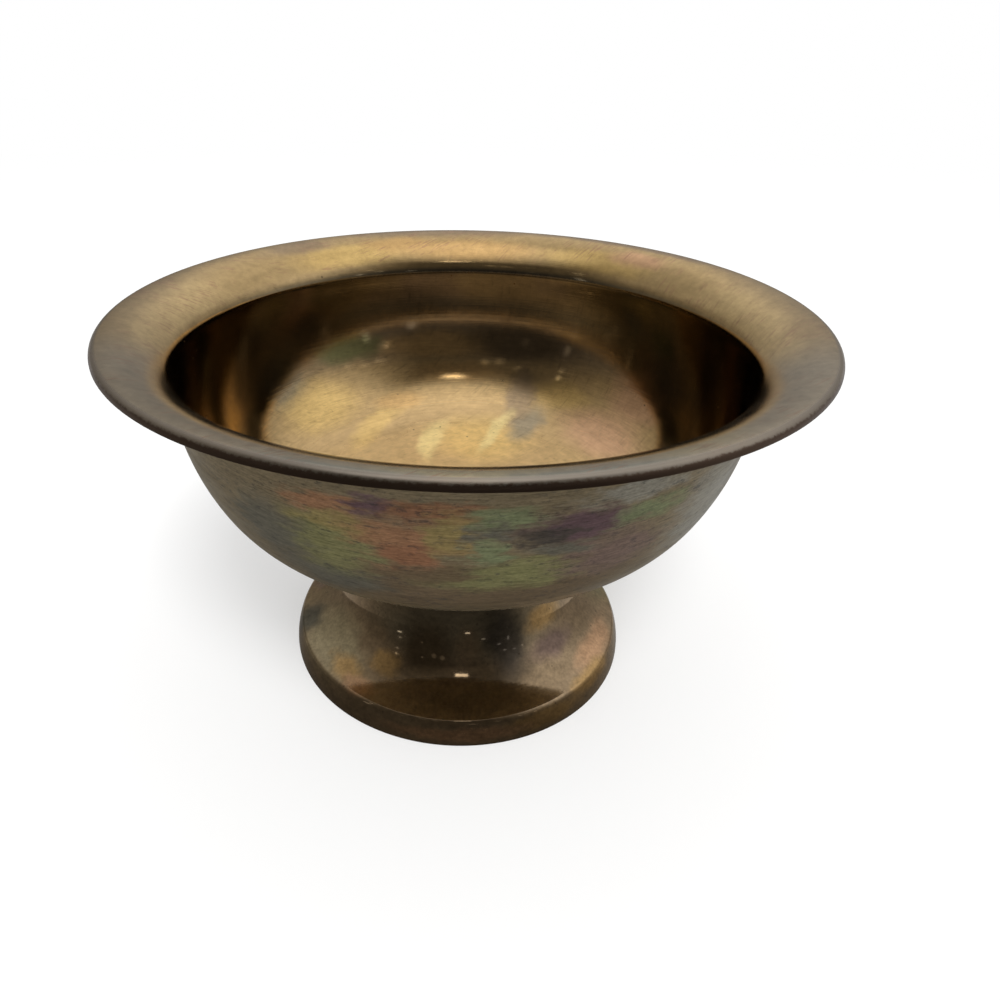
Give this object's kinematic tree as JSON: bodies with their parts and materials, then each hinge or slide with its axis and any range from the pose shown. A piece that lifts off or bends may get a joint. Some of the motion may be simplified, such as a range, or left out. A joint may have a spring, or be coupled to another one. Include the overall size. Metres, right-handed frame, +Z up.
{
  "type": "pedestal offering bowl",
  "caption": "Footed offering bowl in spun brass: deep round bowl with a wide flared lip on a waisted trumpet foot, held together by a stud, washers and a nut inside the foot.",
  "frame": {"origin": "centre of the ring that the foot stands on, on the table", "axes": "+Z up along the axis of the bowl and foot; X and Y free, since bowl and foot are round"},
  "size_m": [0.152, 0.152, 0.0893],
  "materials": {
    "bowl": "tarnished, fine turning lines",
    "foot": "darker tarnish, fine turning lines",
    "fastening": "dull, as turned",
    "spring_steel": "oiled grey"
  },
  "bodies": {
    "root": {"bowl": "bowl", "stud": "fastening", "foot": "foot", "washer": "fastening", "spring_washer": "spring_steel", "nut": "fastening"}
  },
  "joints": []
}
